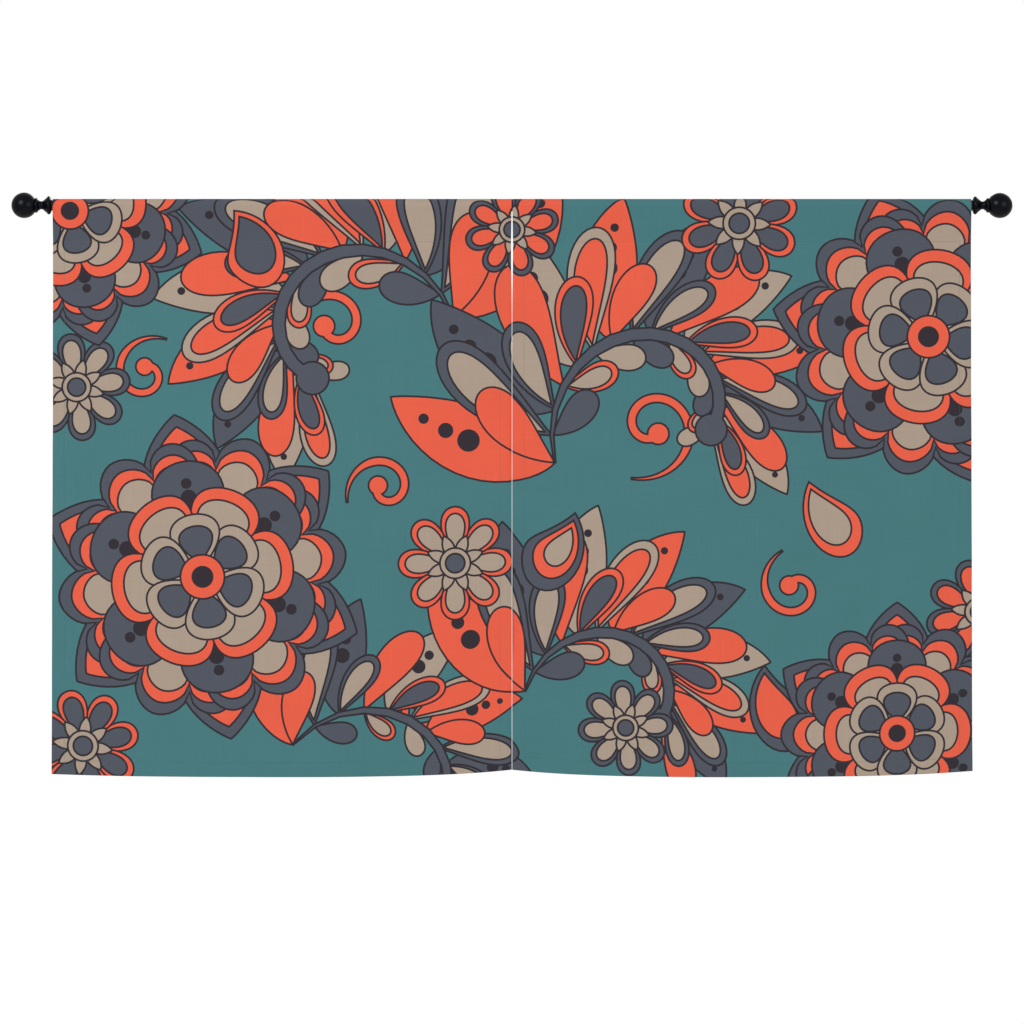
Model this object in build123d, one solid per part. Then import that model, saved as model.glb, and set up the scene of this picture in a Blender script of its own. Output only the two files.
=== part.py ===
from build123d import *
import os
from math import sqrt

# A pair of rod-pocket window curtains on a telescoping rod with ball finials. Millimetres.
# The origin is on the rod's axis, midway between the panels. X runs along the rod, the printed
# faces look towards -Y and +Z is up. The wide tube starts at the left finial.

# Rod
WIDE_TUBE_DIA = 19.0
WIDE_TUBE_LENGTH = 1220.0
WIDE_TUBE_WALL = 0.9
SLIM_TUBE_DIA = 16.0
SLIM_TUBE_LENGTH = 1150.0
SLIM_TUBE_WALL = 0.9
RUNNING_GAP = 0.08
SLEEVE_LENGTH = 24.0
SLEEVE_LIP = 3.0
BUSH_LENGTH = 30.0
FINIAL_FACE_X = 729.5  # where each finial's flare begins, from the middle of the rod
PLUG_NOSE = 2.5
PLUG_NOSE_DIA = 16.8
PLUG_SHANK = 20.0

# Finials. Distances along a finial are counted outwards from its inner face.
STUD_DIA = 8.0
STUD_IN_PLUG = 14.0
STUD_OUT = 36.0
STUD_GAP = 0.05
STUD_END_GAP = 1.0
STUD_CHAMFER = 0.8
FACE_GAP = 0.3
FACE_RADIUS = 9.4
RIM_RADIUS = 14.5
WAIST_RADIUS = 6.3
COLLAR_RADIUS = 11.9
SEAT_AT = 26.4
SEAT_RADIUS = 10.8
BALL_RADIUS = 20.3
BALL_AT = 43.6

# Panels
PANEL_OUTER_X = 727.5
PANEL_INNER_X = 1.0
PANEL_BOTTOM_Z = -905.0
CLOTH_THICK = 1.0
HEM_THICK = 2.0
SIDE_HEM_WIDTH = 20.0
BOTTOM_HEM_HEIGHT = 25.0
HEM_GAP = 0.3  # between the leading hem and the cloth that it gathers
POCKET_GAP = 0.3  # between the wide tube and the cloth round it
POCKET_POINT = 54.0  # depth of the pocket's inner point below the rod's axis
POCKET_SEAM_Z = -57.0

# Thread
THREAD_WIDE = 0.5
THREAD_THICK = 0.3
SEAM_MARGIN = 2.0  # from a hem's edge to its line of stitches

WIDE_TUBE_RADIUS = WIDE_TUBE_DIA / 2
WIDE_TUBE_BORE = WIDE_TUBE_RADIUS - WIDE_TUBE_WALL
SLIM_TUBE_RADIUS = SLIM_TUBE_DIA / 2
SLIM_TUBE_BORE = SLIM_TUBE_RADIUS - SLIM_TUBE_WALL
TUBE_END_X = FINIAL_FACE_X - PLUG_NOSE
WIDE_TUBE_MOUTH_X = WIDE_TUBE_LENGTH - TUBE_END_X
SLIM_TUBE_INNER_X = TUBE_END_X - SLIM_TUBE_LENGTH
POCKET_RADIUS = WIDE_TUBE_RADIUS + POCKET_GAP
HOLE_RADIUS = STUD_DIA / 2 + STUD_GAP


def ring(start_x, end_x, outer, inner):
    """A straight tube along the rod's axis."""
    return extrude(Plane.YZ.offset(start_x) * (Circle(outer) - Circle(inner)), end_x - start_x)


def rod(start_x, end_x, radius):
    """A solid round bar along the rod's axis."""
    return extrude(Plane.YZ.offset(start_x) * Circle(radius), end_x - start_x)


def box(low, high):
    """A rectangular block between two opposite corners."""
    size = [b - a for a, b in zip(low, high)]
    return Pos(*low) * Box(*size, align=(Align.MIN, Align.MIN, Align.MIN))


def turned(side, edges):
    """Revolves a closed outline, drawn as distance along a finial and radius, at one end of the rod."""
    face = Plane.XZ * make_face(edges)
    shape = Pos(FINIAL_FACE_X, 0, 0) * revolve(face, Axis.X)
    return shape if side > 0 else mirror(shape, Plane.YZ)


def telescope_sleeve():
    """Plastic sleeve pressed into the wide tube's mouth, where the slim tube runs through it."""
    bore = SLIM_TUBE_RADIUS + RUNNING_GAP
    inside = ring(WIDE_TUBE_MOUTH_X - SLEEVE_LENGTH, WIDE_TUBE_MOUTH_X, WIDE_TUBE_BORE, bore)
    lip = ring(WIDE_TUBE_MOUTH_X, WIDE_TUBE_MOUTH_X + SLEEVE_LIP, WIDE_TUBE_RADIUS, bore)
    return inside + lip


def inner_tube_bush():
    """Plastic bush at the slim tube's hidden end, which centres it in the wide tube."""
    spigot = rod(SLIM_TUBE_INNER_X, SLIM_TUBE_INNER_X + BUSH_LENGTH / 2, SLIM_TUBE_BORE)
    head = rod(SLIM_TUBE_INNER_X - BUSH_LENGTH / 2, SLIM_TUBE_INNER_X, WIDE_TUBE_BORE - RUNNING_GAP)
    return spigot + head


def end_plug(side, tube_bore):
    """Plug pressed into a tube's end, with the threaded hole that takes the finial's stud."""
    shank = rod(TUBE_END_X - PLUG_SHANK, TUBE_END_X, tube_bore)
    nose = rod(TUBE_END_X, FINIAL_FACE_X, PLUG_NOSE_DIA / 2)
    hole = rod(TUBE_END_X - PLUG_SHANK, FINIAL_FACE_X, HOLE_RADIUS)
    plug = shank + nose - hole
    return plug if side > 0 else mirror(plug, Plane.YZ)


def finial_neck(side):
    """Turned neck: a flare against the rod, a narrow waist and a collar under the ball."""
    rim = ThreePointArc((1.8, 12.6), (3.8, RIM_RADIUS), (7.2, 12.9))
    cove = Spline((7.6, 12.2), (11.2, 9.2), (16.3, WAIST_RADIUS), (20.2, 8.1), (22.6, 10.6))
    collar = ThreePointArc((22.6, 10.6), (24.6, COLLAR_RADIUS), (SEAT_AT, SEAT_RADIUS))
    corners = Polyline(
        (SEAT_AT, SEAT_RADIUS),
        (SEAT_AT, HOLE_RADIUS),
        (FACE_GAP, HOLE_RADIUS),
        (FACE_GAP, FACE_RADIUS),
        (1.8, 12.6),
    )
    return turned(side, [rim, Line((7.2, 12.9), (7.6, 12.2)), cove, collar, corners])


def finial_ball(side):
    """Ball with a flat seat on the collar and a blind hole for the stud."""
    ball = Pos(BALL_AT, 0, 0) * Sphere(BALL_RADIUS)
    ball -= rod(0, SEAT_AT, BALL_RADIUS)
    ball -= rod(SEAT_AT, STUD_OUT + STUD_END_GAP, HOLE_RADIUS)
    ball = Pos(FINIAL_FACE_X, 0, 0) * ball
    return ball if side > 0 else mirror(ball, Plane.YZ)


def finial_stud(side):
    """Double-ended threaded stud that joins the finial to its plug."""
    stud = rod(FINIAL_FACE_X - STUD_IN_PLUG, FINIAL_FACE_X + STUD_OUT, STUD_DIA / 2)
    stud = chamfer(stud.edges().filter_by(GeomType.CIRCLE), STUD_CHAMFER)
    return stud if side > 0 else mirror(stud, Plane.YZ)


def drop(radius, point):
    """Circle round the rod with its two tangents meeting at a point below."""
    rise = radius * radius / point
    reach = radius * sqrt(1 - (radius / point) ** 2)
    return Circle(radius) + Polygon((-reach, -rise), (0, -point), (reach, -rise), align=None)


def pocket_section(thick):
    """Section of the cloth that loops over the rod, down to the pocket's seam."""
    outer_radius = POCKET_RADIUS + thick
    outer = drop(outer_radius, POCKET_POINT * outer_radius / POCKET_RADIUS)
    below = Pos(0, POCKET_SEAM_Z) * Rectangle(100, 100, align=(Align.CENTER, Align.MAX))
    return outer - below - drop(POCKET_RADIUS, POCKET_POINT)


def across(side, near_x, far_x):
    """Start and length along X of a stretch given by its distances from the middle of the rod."""
    start = near_x if side > 0 else -far_x
    return start, far_x - near_x


def pocket(side, near_x, far_x):
    """A stretch of the pocket round the rod."""
    start, length = across(side, near_x, far_x)
    return extrude(Plane.YZ.offset(start) * pocket_section(CLOTH_THICK), length)


def hanging(side, near_x, far_x, low_z, high_z, thick):
    """Flat cloth hanging under the rod."""
    start, length = across(side, near_x, far_x)
    return box((start, -thick / 2, low_z), (start + length, thick / 2, high_z))


def level_stitches(side, near_x, far_x, at_z, on_thick):
    """Line of thread along X on a front face."""
    start, length = across(side, near_x, far_x)
    face_y = -on_thick / 2
    return box((start, face_y - THREAD_THICK, at_z), (start + length, face_y, at_z + THREAD_WIDE))


def upright_stitches(side, at_x):
    """Line of thread down a side hem's front face."""
    start, length = across(side, at_x - THREAD_WIDE / 2, at_x + THREAD_WIDE / 2)
    face_y = -HEM_THICK / 2
    low = (start, face_y - THREAD_THICK, PANEL_BOTTOM_Z + SEAM_MARGIN)
    return box(low, (start + length, face_y, POCKET_SEAM_Z - SEAM_MARGIN))


def panel(name, side):
    """All of one panel's pieces, by node name."""
    lead_x = PANEL_INNER_X + SIDE_HEM_WIDTH
    near_x = lead_x + HEM_GAP
    far_x = PANEL_OUTER_X - SIDE_HEM_WIDTH
    hem_top = PANEL_BOTTOM_Z + BOTTOM_HEM_HEIGHT
    field = (side, near_x, far_x)
    outer = (side, far_x, PANEL_OUTER_X)
    inner = (side, PANEL_INNER_X, lead_x)
    return {
        f"{name}_cloth": hanging(*field, hem_top, POCKET_SEAM_Z, CLOTH_THICK),
        f"{name}_rod_pocket": pocket(*field),
        f"{name}_bottom_hem": hanging(*field, PANEL_BOTTOM_Z, hem_top, HEM_THICK),
        f"{name}_outer_pocket_end": pocket(*outer),
        f"{name}_outer_side_hem": hanging(*outer, PANEL_BOTTOM_Z, POCKET_SEAM_Z, HEM_THICK),
        f"{name}_inner_pocket_end": pocket(*inner),
        f"{name}_inner_side_hem": hanging(*inner, PANEL_BOTTOM_Z, POCKET_SEAM_Z, HEM_THICK),
        f"{name}_pocket_stitching": level_stitches(
            *field, POCKET_SEAM_Z - SEAM_MARGIN, CLOTH_THICK
        ),
        f"{name}_bottom_hem_stitching": level_stitches(*field, hem_top - SEAM_MARGIN, HEM_THICK),
        f"{name}_outer_side_stitching": upright_stitches(side, far_x + SEAM_MARGIN),
        f"{name}_inner_side_stitching": upright_stitches(side, lead_x - SEAM_MARGIN),
    }


def finial(name, side):
    """One finial's pieces, by node name."""
    return {
        f"{name}_finial_ball": finial_ball(side),
        f"{name}_finial_neck": finial_neck(side),
        f"{name}_finial_stud": finial_stud(side),
    }


def rod_pieces():
    """The telescoping rod's pieces, by node name."""
    return {
        "rod_outer_tube": ring(-TUBE_END_X, WIDE_TUBE_MOUTH_X, WIDE_TUBE_RADIUS, WIDE_TUBE_BORE),
        "rod_inner_tube": ring(SLIM_TUBE_INNER_X, TUBE_END_X, SLIM_TUBE_RADIUS, SLIM_TUBE_BORE),
        "telescope_sleeve": telescope_sleeve(),
        "inner_tube_bush": inner_tube_bush(),
        "left_end_plug": end_plug(-1, WIDE_TUBE_BORE),
        "right_end_plug": end_plug(1, SLIM_TUBE_BORE),
    }


def main():
    os.makedirs("parts", exist_ok=True)
    pieces = rod_pieces()
    for name, side in (("left", -1), ("right", 1)):
        pieces.update(finial(name, side))
        pieces.update(panel(f"{name}_panel", side))
    for node, shape in pieces.items():
        export_step(shape, f"parts/{node}.step")


main()
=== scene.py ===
"""Window curtains on a rod: two printed rod-pocket panels on a telescoping rod with ball finials.

Everything is in metres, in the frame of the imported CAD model: X runs along the rod, the printed
faces look towards -Y and +Z is up. The origin is on the rod's axis, midway between the panels.
"""

import math

import bpy
import numpy as np
from bpy.props import FloatProperty, FloatVectorProperty, PointerProperty
from bpy.types import Operator, Panel, PropertyGroup
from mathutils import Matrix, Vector
from mathutils.geometry import delaunay_2d_cdt


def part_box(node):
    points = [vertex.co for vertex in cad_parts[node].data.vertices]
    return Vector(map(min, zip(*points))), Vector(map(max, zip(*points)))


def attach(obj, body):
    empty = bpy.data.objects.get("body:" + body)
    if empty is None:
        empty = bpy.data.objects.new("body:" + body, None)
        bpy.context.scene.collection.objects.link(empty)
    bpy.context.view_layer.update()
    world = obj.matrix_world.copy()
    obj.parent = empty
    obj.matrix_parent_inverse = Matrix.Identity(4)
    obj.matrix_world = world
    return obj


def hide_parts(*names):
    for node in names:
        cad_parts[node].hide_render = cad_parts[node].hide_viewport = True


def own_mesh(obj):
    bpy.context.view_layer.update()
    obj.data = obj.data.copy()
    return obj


bl_info = {
    "name": "Window curtains on a rod",
    "version": (1, 0, 0),
    "blender": (4, 5, 0),
    "location": "View3D > Sidebar > Curtains",
    "description": "Two printed rod-pocket panels, their seams, the rod and its finials",
    "category": "Add Mesh",
}

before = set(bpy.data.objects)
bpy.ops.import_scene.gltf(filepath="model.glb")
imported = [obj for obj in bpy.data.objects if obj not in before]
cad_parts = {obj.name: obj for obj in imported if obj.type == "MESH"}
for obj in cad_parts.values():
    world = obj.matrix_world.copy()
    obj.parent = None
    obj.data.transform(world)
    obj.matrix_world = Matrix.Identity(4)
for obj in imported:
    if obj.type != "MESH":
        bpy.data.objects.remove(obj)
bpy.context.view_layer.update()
SIDES = ("left", "right")

# Sizes that the CAD settles
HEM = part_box("left_panel_outer_side_hem")
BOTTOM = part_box("left_panel_bottom_hem")
POCKET_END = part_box("left_panel_outer_pocket_end")
HEM_WIDTH = HEM[1].x - HEM[0].x
BOTTOM_Z = BOTTOM[0].z
BOTTOM_HEM = BOTTOM[1].z - BOTTOM[0].z
SEAM_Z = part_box("left_panel_cloth")[1].z
POCKET_RADIUS = POCKET_END[1].z - 0.0007

# How the cloth is folded
SIDE_BEND = 0.0006
BOTTOM_BEND = 0.00135
PRINT_TOP = 0.0116  # height above the rod's axis of the layout's zero line
SEAM_EASE = 0.004  # length over which the cloth turns from the seam into the pocket
POCKET_TURN_IN = 0.004
STITCH_MARGIN = 0.002

# The print's inks, each with the number that its faces carry
INKS = {"ground": 0.1, "taupe": 0.3, "slate": 0.5, "coral": 0.7, "outline": 0.9}
CM = 0.01
PETAL_CORNERS = 44
LOBE_CORNERS = 14
DISC_CORNERS = 28
FAN_SPREAD = 76  # degrees
SHARPEST = 0.55  # cosine of half a turn, below which an outline's offset stops growing

# How the cloth hangs, in metres, and in shares of the drop below the seam
SWAG_SPACING = 0.21
UPRIGHT_WAVE = 0.0016
LEVEL_WAVE = 0.0021
FLARE = 0.0026
OUTER_RISE = {"left": 0.0045, "right": 0.0095}
INNER_RISE = 0.0115

# The mesh's steps, in metres
FIELD_STEP = 0.009
HEM_STEP = 0.008
FRONT_HEM_STEP = 0.007
BACK_STEP = 0.005
ROD_STEP = 0.0014

FLOOR_Z = -1.6
FLOOR_SIDES = 96
FLOOR_RINGS = 8


def linear(*shade):
    """The linear values of a colour given in sRGB, 0 to 255."""
    part = np.array(shade) / 255
    return tuple(np.where(part <= 0.04045, part / 12.92, ((part + 0.055) / 1.055) ** 2.4))


def colour(name, description, shade):
    return FloatVectorProperty(
        name=name, description=description, default=linear(*shade), subtype="COLOR", min=0, max=1
    )


def length(name, description, value):
    return FloatProperty(name=name, description=description, default=value, unit="LENGTH", min=0)


class ClothSettings(PropertyGroup):
    """Sizes and colours of the printed panels."""

    ground: colour("Ground", "The plain ground of the print", (72, 124, 128))
    taupe: colour("Taupe", "The pale ink", (176, 158, 141))
    slate: colour("Slate", "The dark grey-blue ink", (82, 87, 98))
    coral: colour("Coral", "The bright ink", (238, 98, 72))
    outline: colour("Outline", "The line round every petal, and the dots", (50, 45, 52))
    unprinted: colour("Unprinted", "The cloth before it is printed", (226, 222, 214))
    outline_width: length("Outline width", "Width of the line round a petal", 0.0031)
    thickness: length("Thickness", "Thickness of the cloth", 0.0004)
    bulge: length("Bulge", "How far the middle of a panel stands forward", 0.009)
    swag: length("Swag", "Depth of the soft folds that hang between a panel's top corners", 0.0022)
    ripple: length("Ripple", "Depth of the small uneven waves", 0.0005)
    thread_pitch: length("Thread pitch", "Distance from one thread of the weave to the next", 0.0005)
    weave_depth: length("Weave depth", "Height of the weave's bumps", 0.00012)
    show_through: FloatProperty(
        name="Show-through",
        description="How much of the print shows on the wrong side of the cloth",
        default=0.42,
        subtype="FACTOR",
        min=0,
        max=1,
    )


class SewingSettings(PropertyGroup):
    """Sizes and colour of the stitching."""

    thread: colour("Thread", "Colour of the sewing thread", (70, 112, 116))
    stitch: length("Stitch", "Length of one stitch", 0.0025)
    pitch: length("Pitch", "Distance from one stitch to the next", 0.0032)
    thread_size: length("Thread size", "Thickness of the thread", 0.00042)


class RodSettings(PropertyGroup):
    """Finishes of the rod and its finials."""

    finial: colour("Finial", "Black of the finials, with a little blue in it", (5, 7, 14))
    rod: colour("Rod", "Black of the powder-coated tubes", (14, 14, 17))
    plastic: colour("Plastic", "Black of the plugs, sleeve and bush", (20, 20, 21))
    steel: colour("Steel", "Zinc plate on the studs", (176, 178, 180))


class StageSettings(PropertyGroup):
    """Floor, lights and camera."""

    floor: colour("Floor", "Colour of the plain floor", (236, 235, 232))
    key: FloatProperty(
        name="Key light", description="Power of the main light", default=134, unit="POWER", min=0
    )
    fill: FloatProperty(
        name="Fill light", description="Power of the second light", default=54, unit="POWER", min=0
    )
    sky: FloatProperty(
        name="Sky", description="Brightness of the white surroundings", default=0.49, min=0
    )
    lens: FloatProperty(
        name="Lens", description="Focal length of the camera", default=180, subtype="DISTANCE_CAMERA"
    )
    view_width: length("View width", "Width that the camera takes in at the curtains", 1.623)
    view_height: FloatProperty(
        name="View height",
        description="Height of the middle of the view above the rod's axis",
        default=-0.4861,
        unit="LENGTH",
    )


# The print's layout, in centimetres: across from the middle of the window, and up from the top of
# the panels. Every motif is drawn over the ones before it.
# Plumes: middle of the spiral, first radius and angle, sweep, last radius, leaves, length of a leaf
PLUMES = [
    (-20, -95, 17, 150, -200, 8, 7, 20),
    (-27, -22, 18, 10, 225, 8, 9, 29),
    (24, -34, 19, 205, -225, 8, 9, 28),
    (17, -80, 15, 175, -200, 7, 8, 24),
]
# Blooms: middle, reach, turn, petals
BLOOMS = [
    (-49, -60, 25, 10, 6),
    (66, -22, 24, 20, 6),
    (61, -85, 20, 0, 6),
    (-70, -2, 21, 12, 6),
]
# Daisies: middle, reach, turn, petals' ink, drops' ink
DAISIES = [
    (-69, -30, 8.5, 8, "slate", "taupe"),
    (36, -4, 9.5, 20, "coral", "slate"),
    (-9, -58, 9, 0, "coral", "taupe"),
    (74, -66, 8.5, 15, "slate", "coral"),
    (-68, -87, 9, 15, "coral", "slate"),
    (18, -84, 7.5, 5, "slate", "taupe"),
    (0, -5, 7.5, 15, "slate", "coral"),
]
# Paisleys: root, tip, width, bend, inks
PAISLEYS = [
    (40 - 74j, 46 - 86j, 8.5, 60, "slate coral"),
    (-44 - 2j, -41 - 14j, 9, -60, "coral slate"),
    (10 - 50j, 2 - 60j, 9, -60, "slate coral taupe"),
    (47 - 45j, 55 - 55j, 8, 50, "coral taupe"),
]
# Tendrils: centre, first radius and angle, sweep, last radius, width, ball radius
TENDRILS = [
    (22, -36, 9, 250, 420, 1.8, 1.4, 1.7),
    (-28, -20, 8, 250, -420, 1.8, 1.4, 1.7),
    (-20, -46, 6.5, 200, -400, 1.3, 1.3, 1.5),
    (45, -62, 6.5, 110, 400, 1.3, 1.3, 1.5),
    (-15, -81, 6.5, 100, -380, 1.2, 1.2, 1.4),
    (-58, -28, 6.5, 60, 400, 1.3, 1.2, 1.4),
]


def rounded(root, tip):
    """Along a petal and across it: along**root times (1 - along)**tip, on both sides, half a width
    at its widest."""
    t = np.linspace(0, 2 * np.pi, PETAL_CORNERS, endpoint=False)
    u = (1 - np.cos(t)) / 2
    peak = (root / (root + tip)) ** root * (tip / (root + tip)) ** tip
    v = 0.5 * u**root * (1 - u) ** tip / peak * np.sign(np.sin(t))
    return u + 1j * v


def fanned(lobes):
    """A fan from the root: its far edge is a row of round lobes, the middle one furthest out."""
    s = np.linspace(0, 1, lobes * LOBE_CORNERS + 1)
    bump = np.abs(np.sin(lobes * np.pi * s)) ** 0.55
    middle = 1 - abs(2 * s - 1) ** 1.5
    r = (0.66 + 0.17 * bump) * (1 + 0.22 * middle)
    a = (s - 0.5) * np.radians(FAN_SPREAD)
    edge = r * np.exp(1j * a)
    edge = edge / edge.real.max()
    edge = edge.real + 1j * edge.imag / (2 * abs(edge.imag).max())
    t = np.linspace(0, 1, 8, endpoint=False)[:, None]
    start, end = edge[0], edge[-1]
    side_in = (start.real * t + 1j * start.imag * t**1.25)[:, 0]
    side_out = (end.real * (1 - t) + 1j * end.imag * (1 - t) ** 1.25)[:, 0]
    return np.concatenate([side_in, edge, side_out[1:]])


SHAPES = {
    "leaf": rounded(0.8, 0.9),
    "drop": rounded(1.0, 0.5),
    "fan": fanned(3),
}


def place(shape, root, tip, width, bend):
    """Carries an outline along a circular arc from root to tip."""
    a = np.radians(bend) if bend else 1e-6
    chord = tip - root
    length = abs(chord) * (a / 2) / np.sin(a / 2)
    aim = np.exp(1j * (np.angle(chord) - a / 2))
    u, v = shape.real, shape.imag
    line = (np.exp(1j * a * u) - 1) / (1j * a) * length
    return root + aim * (line + 1j * np.exp(1j * a * u) * v * width)


def disc(middle, r):
    return middle + r * np.exp(2j * np.pi * np.arange(DISC_CORNERS) / DISC_CORNERS)


def petal(root, tip, width, bend, fills, shape, dots=0):
    """A petal, its inks from the outside in, with a row of dots that shrink towards the tip."""
    out = []
    size = abs(tip - root)
    for k, fill in enumerate(fills.split()):
        rim = min(1.3, 0.16 * width) * k
        local = 0.9 * rim / size + SHAPES[shape].real * (1 - 2.4 * rim / size)
        local = local + 1j * SHAPES[shape].imag * (1 - 2 * rim / width)
        out.append((place(local, root, tip, width, bend), fill))
    for k in range(dots):
        spot = place(np.array([0.5 + 0.14 * k + 0j]), root, tip, width, bend)[0]
        out.append((disc(spot, 0.16 * width * 0.68**k), "dark"))
    return out


def ribbon(line, widths):
    """Both sides of a line, at half its width."""
    d = np.gradient(line)
    n = 1j * d / abs(d)
    return np.concatenate([line + n * widths / 2, (line - n * widths / 2)[::-1]])


def joined(outlines, fill):
    """Outlines of one ink as one motif, with no lines between them."""
    return [(outlines, fill)]


def spiral(x, y, r0, start, sweep, r1, n):
    """A line whose radius changes evenly on a log scale."""
    t = np.linspace(0, 1, n)
    return x + 1j * y + r0 * (r1 / r0) ** t * np.exp(1j * np.radians(start + sweep * t))


def tendril(x, y, r0, start, sweep, r1, width, ball):
    """A coral spiral ribbon that thickens from a point, with a ball at its end."""
    n = max(24, int(abs(sweep) / 7))
    line = spiral(x, y, r0, start, sweep, r1, n)
    widths = width * np.minimum(1, 0.2 + 4 * np.linspace(0, 1, n))
    return joined([ribbon(line, widths), disc(line[-1], ball)], "coral")


def ring(middle, count, turn, inner, reach, width, fills, shape, dots=0):
    """Like petals evenly round a middle."""
    out = []
    for aim in np.exp(1j * np.radians(turn + 360 / count * np.arange(count))):
        out += petal(middle + inner * aim, middle + reach * aim, width, 0, fills, shape, dots)
    return out


def bloom(x, y, reach, turn, count):
    """Five rings of petals, each a half step round from the one behind it, and an eye."""
    middle, half = x + 1j * y, 180 / count
    wide = 2 * np.pi * reach / count
    out = ring(middle, count, turn + half, 0.3 * reach, 1.04 * reach, 0.5 * wide, "slate coral", "leaf")
    out += ring(middle, count, turn, 0.1 * reach, 0.92 * reach, 0.86 * wide, "slate coral taupe", "fan")
    out += ring(middle, count, turn + half, 0.1 * reach, 0.74 * reach, 0.44 * wide, "slate", "drop", 3)
    out += ring(middle, count, turn, 0.1 * reach, 0.58 * reach, 0.42 * wide, "coral taupe", "drop")
    out += ring(middle, count, turn + half, 0.05 * reach, 0.4 * reach, 0.3 * wide, "taupe slate", "drop")
    return out + [(disc(middle, 0.14 * reach), "coral"), (disc(middle, 0.07 * reach), "dark")]


def daisy(x, y, reach, turn, petals, drops):
    middle = x + 1j * y
    out = ring(middle, 8, turn, 0.1 * reach, reach, 0.5 * reach, petals + " " + drops, "drop")
    out += ring(middle, 8, turn + 22.5, 0.1 * reach, 0.52 * reach, 0.2 * reach, "taupe", "leaf")
    return out + [(disc(middle, 0.27 * reach), "taupe"), (disc(middle, 0.17 * reach), "slate")]


def plume(x, y, r0, start, sweep, r1, count, size):
    """Rows of leaves off a spiral stem, the long dotted ones at the back and one row on its hollow
    side. They lean out from its direction, and shorten evenly on a log scale to its curled end."""
    stem = spiral(x, y, r0, start, sweep, r1, 2 * count)
    ahead = np.gradient(stem)
    ahead /= abs(ahead)
    out = []
    rows = (
        (0, 62, 1.0, 0.4, ("coral", "slate", "taupe"), "leaf", 3),
        (1, 50, 0.8, 0.38, ("slate taupe", "coral", "taupe coral"), "drop", 0),
        (0, 38, 0.58, 0.42, ("coral", "slate taupe", "coral slate"), "drop", 0),
        (1, -42, 0.34, 0.5, ("slate", "coral taupe", "taupe"), "drop", 0),
    )
    turn = np.sign(sweep)
    for first, lean, length, wide, inks, shape, dots in rows:
        for k in range(count - 1, -1, -1):
            j = 2 * k + first
            reach = size * length * (r1 / r0) ** (0.7 * k / count)
            tip = stem[j] + reach * ahead[j] * np.exp(-1j * turn * np.radians(lean))
            bend = 30 * turn * np.sign(lean)
            out += petal(stem[j], tip, wide * reach, bend, inks[k % len(inks)], shape, dots)
    widths = 0.07 * size * np.minimum(1, 0.15 + 2.5 * np.linspace(0, 1, len(stem)))
    return out + joined([ribbon(stem, widths), disc(stem[-1], 0.09 * size)], "slate")


def layout():
    """The whole print, from the back: tendrils, plumes, paisleys, daisies and blooms."""
    shapes = []
    for row in TENDRILS:
        shapes += tendril(*row)
    for row in PLUMES:
        shapes += plume(*row)
    for row in PAISLEYS:
        shapes += petal(*row, "drop")
    for row in DAISIES:
        shapes += daisy(*row)
    for row in BLOOMS:
        shapes += bloom(*row)
    return shapes


def offset(ring, by):
    """Moves each corner of a counter-clockwise outline outwards, along the mean of its two sides'
    normals, by the distance over the cosine of half its turn, which is held to 1.8 at a sharp tip."""
    ahead = np.roll(ring, -1) - ring
    ahead /= abs(ahead)
    normal = -0.5j * (ahead + np.roll(ahead, 1))
    size = np.maximum(abs(normal), 1e-6)
    return ring + by * normal / size / np.maximum(size, SHARPEST)


def tidy_ring(ring):
    """The outline without points that nearly coincide, counter-clockwise."""
    ring = ring[abs(ring - np.roll(ring, 1)) > 0.02]
    ahead = np.roll(ring, -1)
    area = (ring.real * ahead.imag - ahead.real * ring.imag).sum()
    return ring if area > 0 else ring[::-1]


def turns_round(points, ring):
    """How many times a closed outline turns round each point: sides that cross the point's level
    upwards on its right, less those that cross it downwards."""
    a = ring[None, :] - points[:, None]
    b = np.roll(ring, -1)[None, :] - points[:, None]
    cross = a.real * b.imag - a.imag * b.real
    up = (a.imag <= 0) & (b.imag > 0) & (cross > 0)
    down = (a.imag > 0) & (b.imag <= 0) & (cross < 0)
    return up.sum(1) - down.sum(1)


def near(points, ring):
    """Which points are in the outline's box."""
    return (
        (points.real >= ring.real.min())
        & (points.real <= ring.real.max())
        & (points.imag >= ring.imag.min())
        & (points.imag <= ring.imag.max())
    )


def inside(points, ring):
    """Which points the outline goes round."""
    found = near(points, ring)
    found[found] = turns_round(points[found], ring) > 0
    return found


def drawn(motifs, line):
    """Each motif as its ink, the outer edges of its outlines and their inner edges. A dot has no
    inner edge, because it is all outline."""
    half = line / CM / 2
    found = []
    for rings, fill in motifs:
        rings = [tidy_ring(ring) for ring in (rings if isinstance(rings, list) else [rings])]
        if fill == "dark":
            found.append(("outline", rings, []))
        else:
            edges = [[offset(ring, by) for ring in rings] for by in (half, -half)]
            found.append((fill, *edges))
    return found


def open_edges(motifs):
    """The sides of all the outlines, as pairs of points, without those under a later motif."""
    edges = []
    for k, (_, outer, inner) in enumerate(motifs):
        later = [over for _, overs, _ in motifs[k + 1 :] for over in overs]
        for ring in outer + inner:
            start, end = ring, np.roll(ring, -1)
            hidden = np.zeros(len(ring), bool)
            for over in later:
                if near(start, over).any():
                    both = inside(start, over) & inside(end, over)
                    hidden |= both & inside((start + end) / 2, over)
            edges.append(np.stack([start[~hidden], end[~hidden]], axis=1))
    return np.concatenate(edges)


def inks_at(points, motifs):
    """The ink of the last motif over each point: its outline between the two edges, its fill
    inside the inner one."""
    ink = np.full(len(points), INKS["ground"])
    for fill, outer, inner in motifs:
        for ring in outer:
            ink[inside(points, ring)] = INKS["outline"]
        for ring in inner:
            ink[inside(points, ring)] = INKS[fill]
    return ink


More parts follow.
